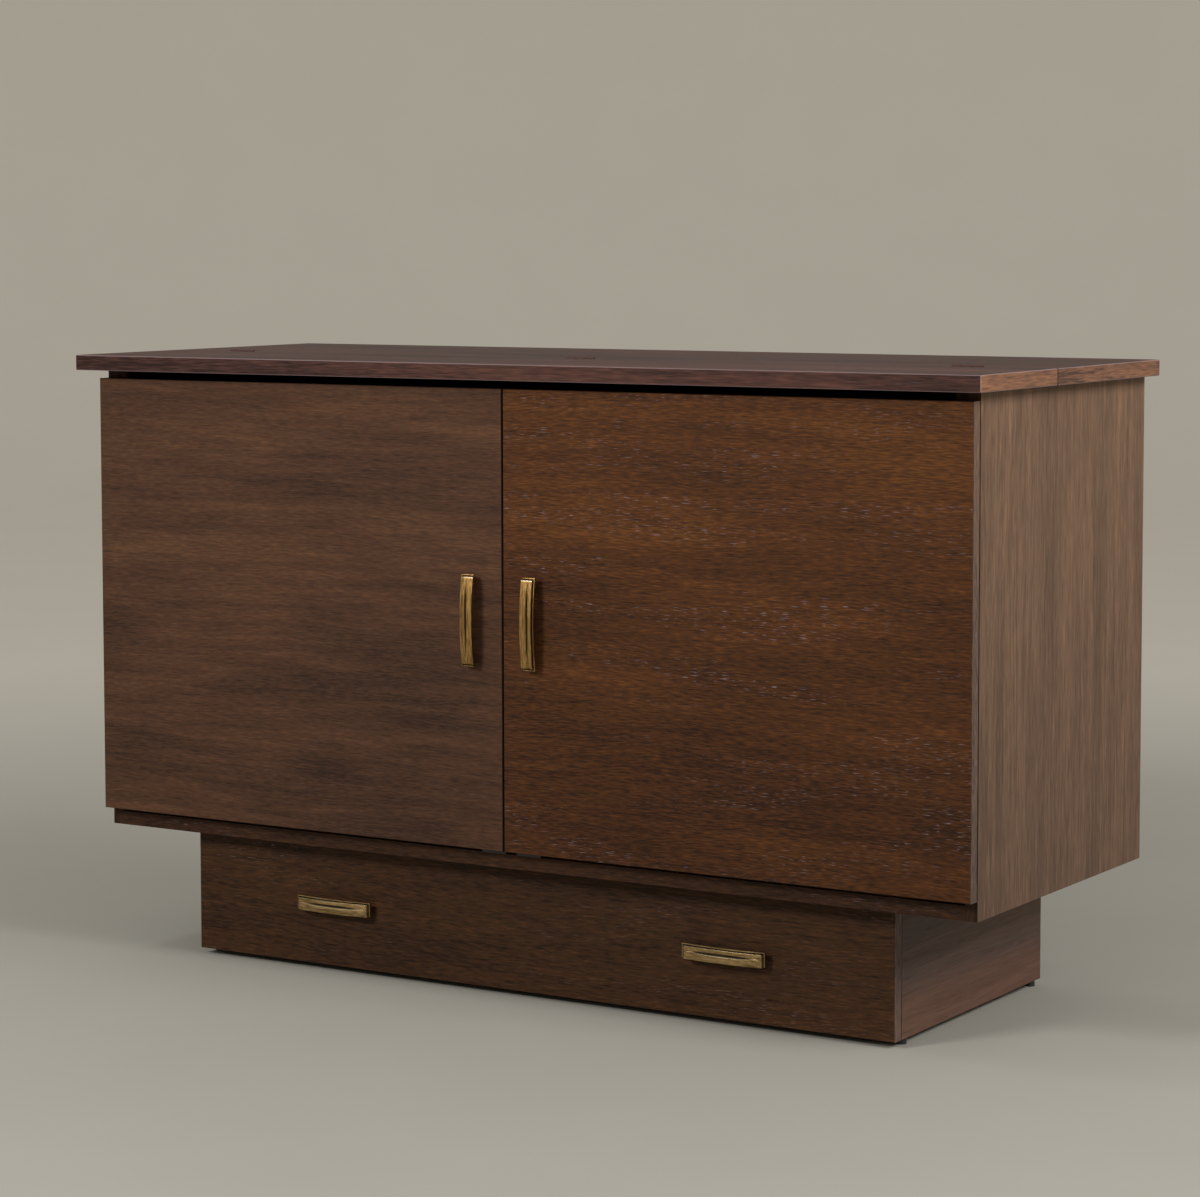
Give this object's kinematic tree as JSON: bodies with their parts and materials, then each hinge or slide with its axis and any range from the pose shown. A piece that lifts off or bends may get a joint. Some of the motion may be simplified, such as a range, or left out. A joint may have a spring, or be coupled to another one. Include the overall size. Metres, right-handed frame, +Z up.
{
  "type": "cabinet bed",
  "caption": "Low wooden cabinet with two doors, a folding top and a base drawer, holding a folded bed platform and mattress.",
  "frame": {"origin": "on the floor, under the middle of the top", "axes": "+X to the right of someone facing the doors, +Y towards the back, +Z up"},
  "size_m": [1.638, 0.648, 1.0008],
  "materials": {
    "walnut": "satin",
    "top_walnut": "satin",
    "inner_wood": "satin",
    "antique_brass": "satin",
    "zinc_steel": "satin",
    "black_rubber": "matte",
    "black_plastic": "matte",
    "ticking": "matte"
  },
  "bodies": {
    "cabinet": {"right_side_panel": "walnut", "left_side_panel": "walnut", "bottom_panel": "walnut", "front_bottom_rail": "walnut", "back_panel": "walnut", "base_right_side": "walnut", "base_left_side": "walnut", "base_back": "walnut", "base_front_rail": "walnut", "rear_top_leaf": "top_walnut", "rear_top_stretcher": "inner_wood", "right_top_cleat": "inner_wood", "left_top_cleat": "inner_wood", "fixed_deck": "inner_wood", "platform_inner_panel": "inner_wood", "platform_outer_panel": "inner_wood", "platform_legs": "inner_wood", "top_hinge_rear_leaves": "antique_brass", "right_hinge_arms": "zinc_steel", "left_hinge_arms": "zinc_steel", "right_hinge_plates": "zinc_steel", "left_hinge_plates": "zinc_steel", "drawer_runner_outer_members": "zinc_steel", "deck_hinges": "zinc_steel", "platform_fold_hinges": "zinc_steel", "platform_leg_brackets": "zinc_steel", "platform_leg_feet": "black_rubber", "base_glides": "black_plastic", "door_catches": "black_plastic", "mattress_foot_section": "ticking", "mattress_middle_section": "ticking", "mattress_head_section": "ticking"},
    "left_door": {"left_door_panel": "walnut", "left_door_pull": "antique_brass", "left_hinge_cups": "zinc_steel", "left_strike_plate": "zinc_steel"},
    "right_door": {"right_door_panel": "walnut", "right_door_pull": "antique_brass", "right_hinge_cups": "zinc_steel", "right_strike_plate": "zinc_steel"},
    "top_leaf": {"front_top_leaf": "top_walnut", "top_hinge_front_leaves": "antique_brass"},
    "drawer": {"drawer_front": "walnut", "drawer_subfront": "inner_wood", "drawer_right_side": "inner_wood", "drawer_left_side": "inner_wood", "drawer_bottom": "inner_wood", "drawer_back": "inner_wood", "drawer_pulls": "antique_brass", "drawer_runner_inner_members": "zinc_steel"},
    "runner_middle": {"drawer_runner_middle_members": "zinc_steel"}
  },
  "joints": [
    {"name": "left_door_hinge", "type": "hinge", "parent": "cabinet", "child": "left_door", "pos_m": [-0.787, -0.281, 0.6005], "axis": [0, 0, -1], "range_deg": [0, 110]},
    {"name": "right_door_hinge", "type": "hinge", "parent": "cabinet", "child": "right_door", "pos_m": [0.787, -0.281, 0.6005], "axis": [0, 0, 1], "range_deg": [0, 110]},
    {"name": "top_leaf_hinge", "type": "hinge", "parent": "cabinet", "child": "top_leaf", "pos_m": [0, -0.062, 0.9988], "axis": [-1, 0, 0], "range_deg": [0, 180]},
    {"name": "drawer_slide", "type": "slide", "parent": "cabinet", "child": "drawer", "axis": [0, -1, 0], "range_m": [0, 0.45]},
    {"name": "runner_slide", "type": "slide", "parent": "cabinet", "child": "runner_middle", "axis": [0, -1, 0], "range_m": [0, 0.225]}
  ],
  "couplings": [
    {"joint": "runner_slide", "follows": "drawer_slide", "ratio": 0.5}
  ]
}
